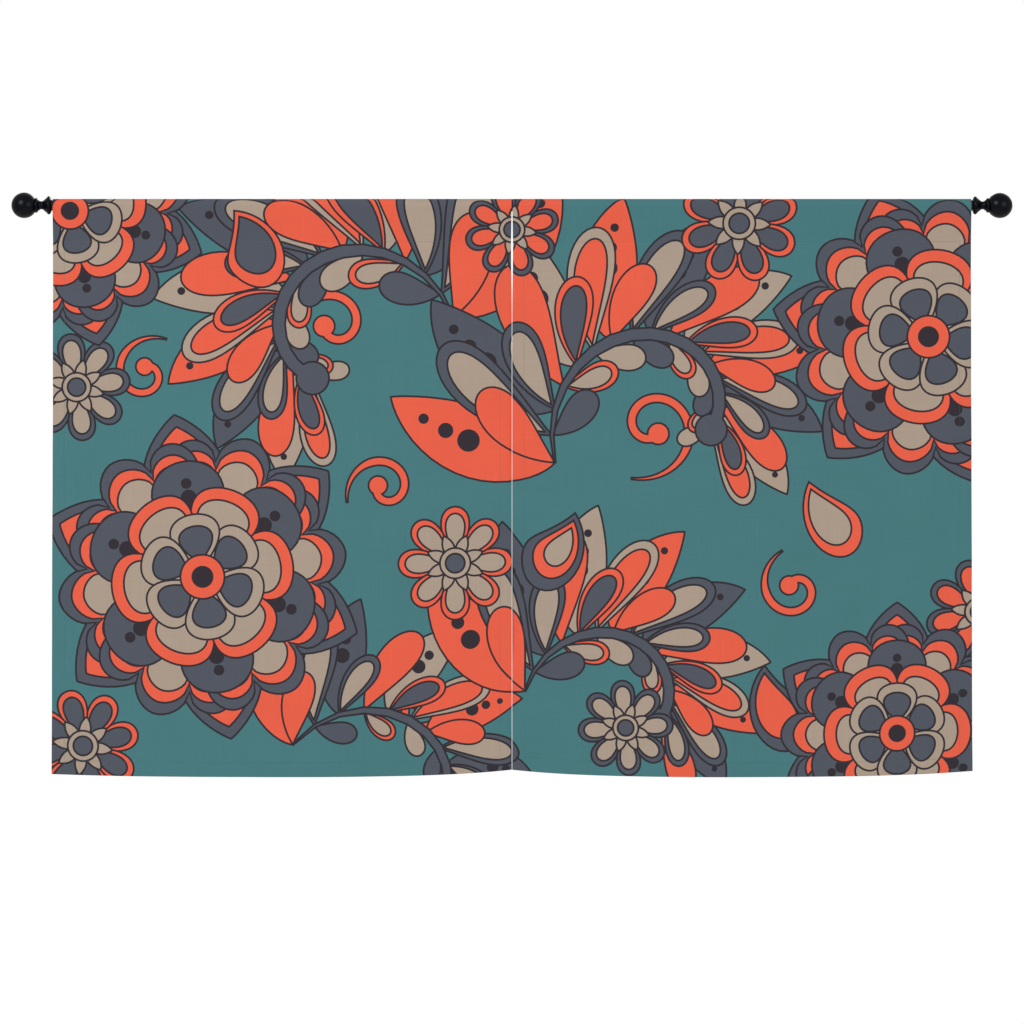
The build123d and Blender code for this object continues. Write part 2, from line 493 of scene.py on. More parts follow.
def walk(distance, runs, start, heading):
    """Where a line of straight runs and arcs has got to, and which way it points, as complex
    numbers. An arc of turn k a metre adds (exp(i k d) - 1) / (i k), turned to its heading."""
    at = np.full(distance.shape, start, complex)
    way = np.full(distance.shape, heading, complex)
    left = distance.astype(float)
    for k, (run, turn) in enumerate(runs):
        done = np.minimum(left, run) if k == 0 else np.clip(left, 0, run)
        if turn:
            bend = 1j * turn / run
            at = at + way * (np.exp(bend * done) - 1) / bend
            way = way * np.exp(bend * done)
        else:
            at = at + way * done
        left = left - done
    return at, way


def panel_edges(side):
    """The X of a panel's left and right edges."""
    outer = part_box(side + "_panel_outer_side_hem")
    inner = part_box(side + "_panel_inner_side_hem")
    return min(outer[0].x, inner[0].x), max(outer[1].x, inner[1].x)


SIDE_STRIP = HEM_WIDTH - SIDE_BEND
SIDE_TURN = math.pi * SIDE_BEND
BOTTOM_STRIP = BOTTOM_HEM - BOTTOM_BEND
BOTTOM_TURN = math.pi * BOTTOM_BEND
SLOPE = math.asin(POCKET_RADIUS / -SEAM_Z)
BACK_SLOPE = math.asin(POCKET_RADIUS / math.hypot(SEAM_Z, 2 * BOTTOM_BEND)) - math.atan(
    2 * BOTTOM_BEND / -SEAM_Z
)
FRONT_RUN = (
    -SEAM_Z - SEAM_EASE * math.cos(SLOPE / 2) - POCKET_RADIUS * math.sin(SLOPE)
) / math.cos(SLOPE)
BACK_RUN = math.sqrt(SEAM_Z**2 - POCKET_RADIUS**2) - SEAM_EASE
ARC_TURN = math.pi + SLOPE + BACK_SLOPE
# The cloth below the seam hangs where the front of the pocket then touches the rod's circle
HANG_Y = (
    SEAM_EASE * math.sin(SLOPE / 2)
    + FRONT_RUN * math.sin(SLOPE)
    - POCKET_RADIUS * math.cos(SLOPE)
)


def across(x, side, lift):
    """Across a panel: a strip behind, a half circle, the front, a half circle and a strip behind.
    Gives X and the depth behind the front. lift moves a point off the printed face."""
    left, right = panel_edges(side)
    runs = [
        (SIDE_STRIP, 0),
        (SIDE_TURN, math.pi),
        (right - left - 2 * SIDE_BEND, 0),
        (SIDE_TURN, math.pi),
        (1, 0),
    ]
    distance = x - left - SIDE_BEND + SIDE_STRIP + SIDE_TURN
    at, way = walk(distance, runs, complex(left + HEM_WIDTH, 2 * SIDE_BEND), -1)
    return at - 1j * way * lift


def down(y):
    """Down a panel, from the raw edge of the bottom hem up: a strip behind, a half circle, the
    front, the slope of the pocket, round the rod and down behind it. Gives Y and Z as a complex
    number, and the direction towards the wrong side of the cloth."""
    runs = [
        (BOTTOM_STRIP, 0),
        (BOTTOM_TURN, -math.pi),
        (SEAM_Z - BOTTOM_Z - BOTTOM_BEND, 0),
        (SEAM_EASE, SLOPE),
        (FRONT_RUN, 0),
        (POCKET_RADIUS * ARC_TURN, -ARC_TURN),
        (BACK_RUN, 0),
        (SEAM_EASE, BACK_SLOPE),
        (1, 0),
    ]
    distance = y + PRINT_TOP - BOTTOM_Z - BOTTOM_BEND + BOTTOM_STRIP + BOTTOM_TURN
    start = complex(HANG_Y + 2 * BOTTOM_BEND, BOTTOM_Z + BOTTOM_HEM)
    at, way = walk(distance, runs, start, -1j)
    return at, -1j * way


def print_limits(side):
    """The lowest and highest print coordinates of a panel's cut cloth, across and up, in metres."""
    left, right = panel_edges(side)
    turned = SIDE_STRIP + SIDE_TURN
    low = BOTTOM_Z - PRINT_TOP + BOTTOM_BEND - BOTTOM_STRIP - BOTTOM_TURN
    top = SEAM_Z - PRINT_TOP + 2 * SEAM_EASE + FRONT_RUN + POCKET_RADIUS * ARC_TURN
    high = top + BACK_RUN + POCKET_TURN_IN
    return left + SIDE_BEND - turned, right - SIDE_BEND + turned, low, high


def smooth(t):
    """3 t^2 - 2 t^3, held between 0 and 1."""
    t = np.clip(t, 0, 1)
    return t * t * (3 - 2 * t)


def forward(u, fall, side, cloth):
    """How far the cloth stands forward: a broad bulge, sin(pi u), soft swags that are waves along
    the drop below an arc between the top corners, long shallow upright waves, and small uneven
    waves. All of them grow from nothing at the seam."""
    flip = 0.0 if side == "left" else 1.7
    arc = 0.2 * (1 - (2 * u - 1) ** 2)
    swags = np.cos(2 * np.pi * (fall - arc) / SWAG_SPACING + flip) * np.exp(-2.1 * fall)
    sides = abs(2 * u - 1)
    swags = swags * (0.35 + 0.65 * sides)
    lean = 0.06 * np.sin(2 * np.pi * 0.9 * fall + flip)
    upright = np.sin(2 * np.pi * (2.35 * (u + lean) + 0.1 * flip)) * (0.25 + 0.75 * fall)
    level = np.cos(2 * np.pi * (1.45 * fall - 0.25 * (u - 0.5) ** 2) + 0.9 + flip) * smooth(fall / 0.4)
    small = (
        np.sin(41 * u + 13 * fall + flip)
        + np.sin(23 * u - 31 * fall + 2 * flip)
        + np.sin(9 * u + 47 * fall + 1.3)
    )
    depth = (
        cloth.bulge * np.sin(np.pi * np.clip(u, 0, 1)) * smooth(fall / 0.5)
        + cloth.swag * swags
        + UPRIGHT_WAVE * upright
        + LEVEL_WAVE * level
        + cloth.ripple * small
    )
    return depth * smooth(fall / 0.07)


def hang(x, y, side, cloth, lift):
    """Where a point of the cut cloth hangs. x and y are its place in the print, in metres, and
    lift its height off the printed face. The folded cloth is then shaped as one: the folds move
    it forward, the hem line rises towards the corners, the outer hem flares, and the inner hem
    leaves a gap that is widest a little below the rod. Only the hems take up these two."""
    flat = across(x, side, lift)
    at, wrong_side = down(y)
    placed = at + flat.imag * wrong_side
    left, right = panel_edges(side)
    outwards = -1 if side == "left" else 1
    u = (flat.real - left) / (right - left)
    out = 1 - u if side == "left" else u
    fall = np.clip((SEAM_Z - placed.imag) / (SEAM_Z - BOTTOM_Z), 0, 1.02)
    rise = OUTER_RISE[side] * np.clip(out, 0, 1) ** 6
    rise = rise + INNER_RISE * np.clip(1 - out, 0, 1) ** 7 - 0.0012
    hem = HEM_WIDTH / (right - left)
    flare = FLARE * fall**1.6 * np.clip((out - 1 + hem) / hem, 0, 1)
    below_top = (PRINT_TOP - placed.imag) / 0.1
    gap = 0.0012 * np.exp(-((below_top - 0.85) ** 2) / 0.35) - 0.00065
    draw_in = gap * np.clip(1 - out / hem, 0, 1)
    points = np.empty(flat.shape + (3,))
    points[..., 0] = flat.real + outwards * (flare + draw_in)
    points[..., 1] = placed.real - forward(u, fall, side, cloth)
    points[..., 2] = placed.imag + rise * fall**2
    return points


def uneven(marks, steps):
    """Numbers from the first mark to the last that include every mark. Between two marks they are
    evenly spaced, at most that stretch's step apart."""
    runs = [
        np.linspace(a, b, max(1, math.ceil((b - a) / step)) + 1)
        for a, b, step in zip(marks, marks[1:], steps)
    ]
    return np.unique(np.concatenate(runs).round(6))


def grid_lines(side):
    """Where the mesh has columns and rows: about every 9 mm, closer round the folds and the rod."""
    left, right = panel_edges(side)
    low_x, high_x, low_y, high_y = print_limits(side)
    start, end = left + SIDE_BEND, right - SIDE_BEND
    folds = [low_x, start - SIDE_TURN, start, left + HEM_WIDTH]
    folds += [right - HEM_WIDTH, end, end + SIDE_TURN, high_x]
    half = [BACK_STEP, SIDE_TURN / 4, FRONT_HEM_STEP]
    bend = BOTTOM_Z + BOTTOM_BEND - PRINT_TOP
    seam = SEAM_Z - PRINT_TOP
    arc = seam + SEAM_EASE + FRONT_RUN
    levels = [low_y, bend - BOTTOM_TURN, bend, BOTTOM_Z + BOTTOM_HEM - PRINT_TOP]
    levels += [seam, seam + SEAM_EASE, arc, arc + POCKET_RADIUS * ARC_TURN, high_y]
    steps = [HEM_STEP, BOTTOM_TURN / 6, HEM_STEP, FIELD_STEP, SEAM_EASE / 3]
    steps += [HEM_STEP, ROD_STEP, HEM_STEP]
    return uneven(folds, half + [FIELD_STEP] + half[::-1]), uneven(levels, steps)


def piece_of(x, y, side):
    """Which piece of the panel each point of the cut cloth belongs to."""
    left, right = panel_edges(side)
    outer, inner = (left, right) if side == "left" else (right, left)
    in_pocket = y > SEAM_Z - PRINT_TOP
    at_hem = y < BOTTOM_Z + BOTTOM_HEM - PRINT_TOP
    names = np.where(in_pocket, "rod_pocket", np.where(at_hem, "bottom_hem", "cloth")).astype("U20")
    for name, edge in (("outer", outer), ("inner", inner)):
        beside = (x < edge + HEM_WIDTH) if edge == left else (x > edge - HEM_WIDTH)
        names[beside & in_pocket] = name + "_pocket_end"
        names[beside & ~in_pocket] = name + "_side_hem"
    return names


def printed_mesh(side, motifs, edges):
    """Cuts a panel's cloth into triangles along every line of the print, every fold and every seam,
    by constrained Delaunay triangulation in centimetres. Gives the points, the triangles, each
    triangle's ink and the piece it belongs to."""
    low_x, high_x, low_y, high_y = np.array(print_limits(side)) / CM
    left, right = np.array(panel_edges(side)) / CM
    columns, rows = ((line / CM).round(4) for line in grid_lines(side))
    grid = (columns[:, None] + 1j * rows[None, :]).ravel()
    seams = np.array([left + HEM_WIDTH / CM, right - HEM_WIDTH / CM])
    hems = (np.array([BOTTOM_Z + BOTTOM_HEM, SEAM_Z]) - PRINT_TOP) / CM
    across_cuts = np.concatenate([[low_x, high_x], seams, columns[np.gradient(columns) < 0.12]])
    down_cuts = np.concatenate([[low_y, high_y], hems, rows[np.gradient(rows) < 0.16]])
    lines = [(complex(x, low_y), complex(x, high_y)) for x in np.unique(across_cuts.round(4))]
    lines += [(complex(low_x, y), complex(high_x, y)) for y in np.unique(down_cuts.round(4))]
    close = np.zeros(len(edges), bool)
    for end in edges.T:
        close |= (end.real > low_x) & (end.real < high_x) & (end.imag > low_y) & (end.imag < high_y)
    pairs = np.concatenate([edges[close], np.array(lines)])
    points = np.concatenate([pairs.ravel(), grid])
    ends = np.arange(2 * len(pairs)).reshape(-1, 2)
    found = delaunay_2d_cdt(
        [Vector((p.real, p.imag)) for p in points], ends.tolist(), [], 0, 1e-5, False
    )
    corners = np.array([tuple(v) for v in found[0]])
    triangles = np.array([f for f in found[2] if len(f) == 3])
    middle = corners[triangles].mean(1)
    keep = (middle[:, 0] > low_x) & (middle[:, 0] < high_x)
    keep &= (middle[:, 1] > low_y) & (middle[:, 1] < high_y)
    triangles, middle = triangles[keep], middle[keep]
    a, b, c = (corners[triangles[:, k]] for k in range(3))
    area = (b[:, 0] - a[:, 0]) * (c[:, 1] - a[:, 1]) - (b[:, 1] - a[:, 1]) * (c[:, 0] - a[:, 0])
    triangles, middle = triangles[abs(area) > 1e-7], middle[abs(area) > 1e-7]
    flip = area[abs(area) > 1e-7] < 0
    triangles[flip] = triangles[flip][:, ::-1]
    ink = inks_at(middle[:, 0] + 1j * middle[:, 1], motifs)
    return corners * CM, triangles, ink, piece_of(middle[:, 0] * CM, middle[:, 1] * CM, side)


def new_piece(name, points, faces, materials):
    """A smooth-shaded mesh object at the origin."""
    mesh = bpy.data.meshes.new(name)
    mesh.from_pydata(points, [], faces)
    mesh.polygons.foreach_set("use_smooth", np.ones(len(mesh.polygons), bool))
    for material in materials:
        mesh.materials.append(material)
    piece = bpy.data.objects.new(name, mesh)
    bpy.context.scene.collection.objects.link(piece)
    return piece


def cloth_piece(name, corners, triangles, ink, side, cloth, materials):
    """One piece of a panel, with its place in the print as its UV map and the ink of each face.
    The wrong side is the printed face hung again, one thickness further in, and each edge that
    only one triangle uses gets a wall of two triangles in that triangle's ink."""
    used, faces = np.unique(triangles, return_inverse=True)
    faces = faces.reshape(-1, 3)
    flat = corners[used]
    count = len(used)
    layers = [hang(flat[:, 0], flat[:, 1], side, cloth, lift) for lift in (0.0, -cloth.thickness)]
    ends = np.stack([faces, np.roll(faces, -1, axis=1)], axis=-1).reshape(-1, 2)
    low_high = np.sort(ends, axis=1)
    keys = low_high[:, 0] * count + low_high[:, 1]
    _, which, uses = np.unique(keys, return_inverse=True, return_counts=True)
    rim = uses[which.ravel()] == 1
    a, b = ends[rim].T
    walls = [np.column_stack([b, a, a + count]), np.column_stack([b, a + count, b + count])]
    every = np.concatenate([faces, faces[:, ::-1] + count, *walls])
    wall_ink = np.repeat(ink, 3)[rim]
    inks = np.concatenate([ink, ink, wall_ink, wall_ink])
    piece = new_piece(name, np.concatenate(layers), every, materials)
    mesh = piece.data
    uv = mesh.uv_layers.new(name="Cloth")
    uv.data.foreach_set("uv", flat[every.ravel() % count].astype(np.float32).ravel())
    shade = mesh.attributes.new("ink", "FLOAT", "CORNER")
    shade.data.foreach_set("value", np.repeat(inks, 3).astype(np.float32))
    wrong_side = np.zeros(len(every), np.int32)
    wrong_side[len(faces) : 2 * len(faces)] = 1
    mesh.polygons.foreach_set("material_index", wrong_side)
    edges = np.empty(len(mesh.loops), np.int32)
    mesh.loops.foreach_get("edge_index", edges)
    edges = edges.reshape(-1, 3)[2 * len(faces) :]
    sharp = np.zeros(len(mesh.edges), bool)
    sharp[edges[: len(a), 0]] = True
    sharp[edges[len(a) :, 1]] = True
    mesh.attributes.new("sharp_edge", "BOOLEAN", "EDGE").data.foreach_set("value", sharp)
    return piece


def put(tree, kind, settings=None, inputs=None):
    """Adds a node, sets its options, and gives its inputs values or links."""
    made = tree.nodes.new(kind)
    made.location = (180 * (len(tree.nodes) % 8), -220 * (len(tree.nodes) // 8))
    for name, value in (settings or {}).items():
        setattr(made, name, value)
    for name, value in (inputs or {}).items():
        if isinstance(value, bpy.types.NodeSocket):
            tree.links.new(value, made.inputs[name])
        else:
            made.inputs[name].default_value = value
    return made


def calc(tree, operation, *values):
    """A Math node's result."""
    return put(tree, "ShaderNodeMath", {"operation": operation}, dict(enumerate(values))).outputs[0]


def noise(tree, vector, scale, detail):
    inputs = {"Vector": vector, "Scale": scale, "Detail": detail}
    return put(tree, "ShaderNodeTexNoise", None, inputs).outputs[0]


def group(name, inputs, outputs):
    """An empty node group with those sockets, and its input node."""
    tree = bpy.data.node_groups.new(name, "ShaderNodeTree")
    for label, kind in inputs:
        tree.interface.new_socket(name=label, in_out="INPUT", socket_type=kind)
    for label in outputs:
        tree.interface.new_socket(name=label, in_out="OUTPUT", socket_type="NodeSocketFloat")
    return tree, tree.nodes.new("NodeGroupInput").outputs


def weave_group():
    """Plain weave: the square root of |sin(pi u / p) sin(pi v / p)| is the height of the threads,
    with thicker and thinner threads from noise stretched along each direction. Its second output is
    painted shade, darker where the threads dip, times the slubs' random tone."""
    tree, given = group(
        "Plain weave",
        [("Place", "NodeSocketVector"), ("Pitch", "NodeSocketFloat")],
        ["Height", "Painted shade and slubs"],
    )
    split = put(tree, "ShaderNodeSeparateXYZ", None, {0: given["Place"]}).outputs
    turn = calc(tree, "DIVIDE", math.pi, given["Pitch"])
    warp = calc(tree, "SINE", calc(tree, "MULTIPLY", split["X"], turn))
    weft = calc(tree, "SINE", calc(tree, "MULTIPLY", split["Y"], turn))
    threads = calc(tree, "SQRT", calc(tree, "ABSOLUTE", calc(tree, "MULTIPLY", warp, weft)))
    slubs = []
    for scale in ((12.0, 900.0, 1.0), (900.0, 12.0, 1.0)):
        stretched = put(
            tree, "ShaderNodeVectorMath", {"operation": "MULTIPLY"}, {0: given["Place"], 1: scale}
        ).outputs[0]
        slubs.append(noise(tree, stretched, 1.0, 1.0))
    slub = calc(tree, "ADD", *slubs)
    height = calc(tree, "ADD", threads, calc(tree, "MULTIPLY", slub, 0.35))
    # painted shade: the threads are darker where they dip between crossings
    dark = calc(tree, "MULTIPLY_ADD", threads, 0.1, 0.93)
    shade = calc(tree, "ADD", dark, calc(tree, "MULTIPLY_ADD", slub, 0.12, -0.12))
    put(tree, "NodeGroupOutput", None, {"Height": height, "Painted shade and slubs": shade})
    return tree


def grain_group():
    """Fine unevenness of a sprayed, moulded or plated skin: noise at the grain's scale, and slow
    patches for its gloss."""
    tree, given = group(
        "Skin grain",
        [("Place", "NodeSocketVector"), ("Grains a metre", "NodeSocketFloat")],
        ["Height", "Patch"],
    )
    fine = noise(tree, given["Place"], given["Grains a metre"], 3.0)
    patch = noise(tree, given["Place"], 38.0, 3.0)
    put(tree, "NodeGroupOutput", None, {"Height": fine, "Patch": patch})
    return tree


def grouped(tree, content, inputs):
    """A node group's results."""
    return put(tree, "ShaderNodeGroup", {"node_tree": content}, inputs).outputs


def new_material(name):
    """A material with only its output and a Principled BSDF."""
    material = bpy.data.materials.new(name)
    material.use_nodes = True
    tree = material.node_tree
    tree.nodes.clear()
    skin = tree.nodes.new("ShaderNodeBsdfPrincipled")
    out = tree.nodes.new("ShaderNodeOutputMaterial")
    out.location = (300, 0)
    tree.links.new(skin.outputs[0], out.inputs["Surface"])
    return material, tree, skin


def mixed(tree, blend, factor, a, b):
    """A Mix node's colour."""
    settings = {"data_type": "RGBA", "blend_type": blend}
    return put(tree, "ShaderNodeMix", settings, {0: factor, 6: a, 7: b}).outputs[2]


def tint(tree, skin, tone, shade):
    """Makes a colour, times a grey value, the skin's base colour."""
    grey = put(tree, "ShaderNodeCombineColor", None, {0: shade, 1: shade, 2: shade}).outputs[0]
    tree.links.new(mixed(tree, "MULTIPLY", 1.0, tone, grey), skin.inputs["Base Color"])


def raise_skin(tree, skin, height, distance, strength):
    """Raises the skin by a height, as bump."""
    inputs = {"Height": height, "Distance": distance, "Strength": strength}
    bump = put(tree, "ShaderNodeBump", None, inputs)
    tree.links.new(bump.outputs[0], skin.inputs["Normal"])


def cotton(name, weave, cloth, wrong_side):
    """Printed cotton. Each face's ink picks its colour. The weave raises it as bump and darkens it
    where the threads dip, which is painted shade, and its slubs and slow dye patches vary its tone.
    The wrong side is the unprinted cloth with some of the print showing through."""
    material, tree, skin = new_material(name)
    ink = put(tree, "ShaderNodeAttribute", {"attribute_name": "ink"}).outputs["Fac"]
    ramp = put(tree, "ShaderNodeValToRGB", None, {"Fac": ink})
    ramp.color_ramp.interpolation = "CONSTANT"
    stops = ramp.color_ramp.elements
    for k, step in enumerate(INKS):
        stop = stops[k] if k < 2 else stops.new(1)
        stop.position = 0.2 * k
        stop.color = (*getattr(cloth, step), 1)
    place = put(tree, "ShaderNodeUVMap", {"uv_map": "Cloth"}).outputs[0]
    threads = grouped(tree, weave, {"Place": place, "Pitch": cloth.thread_pitch})
    patch = calc(tree, "MULTIPLY_ADD", noise(tree, place, 14.0, 3.0), 0.07, 0.965)
    # painted shade of the weave's hollows, with its slubs, times random dye patches
    shade = calc(tree, "MULTIPLY", threads["Painted shade and slubs"], patch)
    tone = ramp.outputs["Color"]
    if wrong_side:
        tone = mixed(tree, "MIX", cloth.show_through, (*cloth.unprinted, 1), tone)
    tint(tree, skin, tone, shade)
    raise_skin(tree, skin, threads["Height"], cloth.weave_depth, 0.6)
    rough = calc(tree, "MULTIPLY_ADD", threads["Height"], -0.06, 0.9)
    tree.links.new(rough, skin.inputs["Roughness"])
    skin.inputs["Specular IOR Level"].default_value = 0.2
    skin.inputs["Sheen Weight"].default_value = 0.06
    skin.inputs["Sheen Roughness"].default_value = 0.5
    return material


def thread_material(sewing):
    """Sewing thread: fine slanting twist along its length, as bump and as painted shade in the twist's
    grooves.
    """
    material, tree, skin = new_material("sewing_thread")
    place = put(tree, "ShaderNodeTexCoord").outputs["Object"]
    wave = put(
        tree,
        "ShaderNodeTexWave",
        {"bands_direction": "DIAGONAL"},
        {"Vector": place, "Scale": 900.0, "Distortion": 1.5, "Detail": 1.0},
    ).outputs["Fac"]
    # painted shade: darker in the twist's grooves, where the bump is low
    shade = calc(tree, "MULTIPLY_ADD", wave, 0.3, 0.8)
    tint(tree, skin, (*sewing.thread, 1), shade)
    raise_skin(tree, skin, wave, 0.00005, 0.5)
    skin.inputs["Roughness"].default_value = 0.7
    skin.inputs["Sheen Weight"].default_value = 0.2
    return material


def hard_material(name, grain, shade, grains, depth, rough, spread, metal=0.0, shine=0.3):
    """A hard skin: fine grain in its height, slow patches in its gloss and its tone."""
    material, tree, skin = new_material(name)
    place = put(tree, "ShaderNodeTexCoord").outputs["Object"]
    skin_grain = grouped(tree, grain, {"Place": place, "Grains a metre": grains})
    tone = calc(tree, "MULTIPLY_ADD", skin_grain["Patch"], 0.5, 0.75)
    tint(tree, skin, (*shade, 1), tone)
    gloss = calc(tree, "MULTIPLY_ADD", skin_grain["Patch"], spread, rough - spread / 2)
    tree.links.new(gloss, skin.inputs["Roughness"])
    raise_skin(tree, skin, skin_grain["Height"], depth, 0.5)
    skin.inputs["Metallic"].default_value = metal
    skin.inputs["Specular IOR Level"].default_value = shine
    return material


def finish(nodes, material):
    """Gives CAD nodes a material."""
    for name in nodes:
        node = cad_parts[name]
        node.data.materials.clear()
        node.data.materials.append(material)


class CURTAIN_OT_rod(Operator):
    """Finish the tubes, the sleeve, the bush and the end plugs"""

    bl_idname = "curtain.rod"
    bl_label = "Rod"

    def execute(self, context):
        rod = context.scene.curtain_rod
        grain = bpy.data.node_groups.get("Skin grain") or grain_group()
        coat = hard_material("powder_coat", grain, rod.rod, 2600.0, 0.00003, 0.46, 0.12)
        plastic = hard_material("moulded_plastic", grain, rod.plastic, 1800.0, 0.00002, 0.5, 0.1)
        finish(["rod_outer_tube", "rod_inner_tube"], coat)
        finish(
            ["telescope_sleeve", "inner_tube_bush", "left_end_plug", "right_end_plug"], plastic
        )
        return {"FINISHED"}


class CURTAIN_OT_finials(Operator):
    """Finish the balls, the turned necks and their studs"""

    bl_idname = "curtain.finials"
    bl_label = "Finials"

    def execute(self, context):
        rod = context.scene.curtain_rod
        grain = bpy.data.node_groups.get("Skin grain") or grain_group()
        satin = hard_material(
            "satin_black", grain, rod.finial, 1500.0, 0.00002, 0.24, 0.06, shine=0.14
        )
        steel = hard_material(
            "zinc_plate", grain, rod.steel, 4000.0, 0.00001, 0.35, 0.15, metal=1.0, shine=0.5
        )
        for side in SIDES:
            finish([side + "_finial_ball", side + "_finial_neck"], satin)
            finish([side + "_finial_stud"], steel)
        return {"FINISHED"}


def panel_body(side, part):
    """The body that a piece of a panel rides on."""
    return side + ("_leading_edge" if part.startswith("inner") else "_panel")


def gather(piece, side, part):
    """Rides a piece on its body. Those between the hems also get a mesh of their own."""
    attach(piece, panel_body(side, part))
    if part.startswith(("inner", "outer")):
        return
    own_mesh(piece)


class CURTAIN_OT_panels(Operator):
    """Build both printed panels: field, rod pocket, bottom hem, side hems and pocket ends"""

    bl_idname = "curtain.panels"
    bl_label = "Printed panels"

    def execute(self, context):
        cloth = context.scene.curtain_cloth
        weave = weave_group()
        faces = [
            cotton("printed_cotton", weave, cloth, False),
            cotton("printed_cotton_back", weave, cloth, True),
        ]
        motifs = drawn(layout(), cloth.outline_width)
        edges = open_edges(motifs)
        for side in SIDES:
            corners, triangles, ink, parts = printed_mesh(side, motifs, edges)
            pieces = {}
            for part in np.unique(parts):
                mine = parts == part
                piece = cloth_piece(
                    f"{side}_{part}", corners, triangles[mine], ink[mine], side, cloth, faces
                )
                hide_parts(f"{side}_panel_{part}")
                gather(piece, side, part)
                pieces[part] = piece
            pieces.pop("cloth")
        return {"FINISHED"}


def band_faces(rings, around):
    """The quads between neighbouring rings of points, with as many points in each ring."""
    k, j = np.meshgrid(np.arange(rings - 1), np.arange(around), indexing="ij")
    a, b = k * around + j, k * around + (j + 1) % around
    return np.stack([a, a + around, b + around, b], axis=-1).reshape(-1, 4).tolist()


def stitch_shape(sewing):
    """One stitch, as distances along its line, across it and off the cloth: a rounded rod whose
    radius is r (1 - t^4), with its lower half in the cloth. Gives its points and faces."""
    rings, around = 7, 6
    t = np.linspace(-0.98, 0.98, rings)[:, None]
    turn = 2 * np.pi * np.arange(around)[None, :] / around
    radius = sewing.thread_size / 2 * (1 - t**4)
    sag = sewing.thread_size * 0.45 * t**4
    body = np.stack(
        [
            t * sewing.stitch / 2 + 0 * turn,
            radius * np.cos(turn),
            radius * np.sin(turn) + sewing.thread_size * 0.2 - sag,
        ],
        axis=-1,
    ).reshape(-1, 3)
    last = (rings - 1) * around
    caps = [list(range(around)), [last + n for n in reversed(range(around))]]
    return body, band_faces(rings, around) + caps


def stitch_row(start, end, along_x, level, side, cloth, sewing):
    """Points of a row of stitches between two print coordinates, along x or along y, with the
    other coordinate at level."""
    shape, _ = stitch_shape(sewing)
    count = int(abs(end - start) / sewing.pitch)
    middle = start + (end - start) * (np.arange(count) + 0.5) / count
    along = middle[:, None] + shape[None, :, 0]
    over = level + 0 * along + (1 if along_x else -1) * shape[None, :, 1]
    x, y = (along, over) if along_x else (over, along)
    lift = np.broadcast_to(shape[None, :, 2], x.shape)
    return hang(x, y, side, cloth, lift).reshape(-1, 3)


def stitch_rows(side):
    """Every row of stitches of a panel, by piece: start, end, whether it runs across, and level.
    Each line shows on the front and on the back of its hem."""
    left, right = panel_edges(side)
    low_x, high_x, low_y, high_y = print_limits(side)
    seam = SEAM_Z - PRINT_TOP
    bend = BOTTOM_Z + BOTTOM_BEND - PRINT_TOP
    hem = BOTTOM_Z + BOTTOM_HEM - STITCH_MARGIN - PRINT_TOP
    a, b = left + HEM_WIDTH, right - HEM_WIDTH
    outer, inner = (left, right) if side == "left" else (right, left)
    rows = {
        "pocket_stitching": [(a, b, True, seam - 0.0006), (a, b, True, high_y - POCKET_TURN_IN)],
        "bottom_hem_stitching": [(a, b, True, hem), (a, b, True, low_y + STITCH_MARGIN)],
    }
    for name, edge in (("outer", outer), ("inner", inner)):
        inwards = 1 if edge == left else -1
        front = edge + inwards * (HEM_WIDTH - STITCH_MARGIN)
        back = (low_x if edge == left else high_x) + inwards * STITCH_MARGIN
        rows[name + "_side_stitching"] = [(bend, seam, False, front), (bend, seam, False, back)]
    return rows


class CURTAIN_OT_stitching(Operator):
    """Sew the pocket seams, the bottom hems and the side hems, stitch by stitch"""

    bl_idname = "curtain.stitching"
    bl_label = "Stitching"

    def execute(self, context):
        cloth, sewing = context.scene.curtain_cloth, context.scene.curtain_sewing
        thread = thread_material(sewing)
        shape, faces = stitch_shape(sewing)
        for side in SIDES:
            for part, rows in stitch_rows(side).items():
                points = np.concatenate([stitch_row(*row, side, cloth, sewing) for row in rows])
                count = len(points) // len(shape)
                every = [
                    [corner + k * len(shape) for corner in face]
                    for k in range(count)
                    for face in faces
                ]
                piece = new_piece(f"{side}_{part}", points, every, [thread])
                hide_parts(f"{side}_panel_{part}")
                gather(piece, side, part)
        return {"FINISHED"}


def light(name, place, target, size, power):
    """A square soft light at place that looks at target."""
    lamp = bpy.data.lights.new(name, "AREA")
    lamp.size, lamp.energy = size, power
    held = bpy.data.objects.new(name, lamp)
    held.location = place
    held.rotation_euler = (Vector(target) - Vector(place)).to_track_quat("-Z", "Y").to_euler()
    bpy.context.scene.collection.objects.link(held)


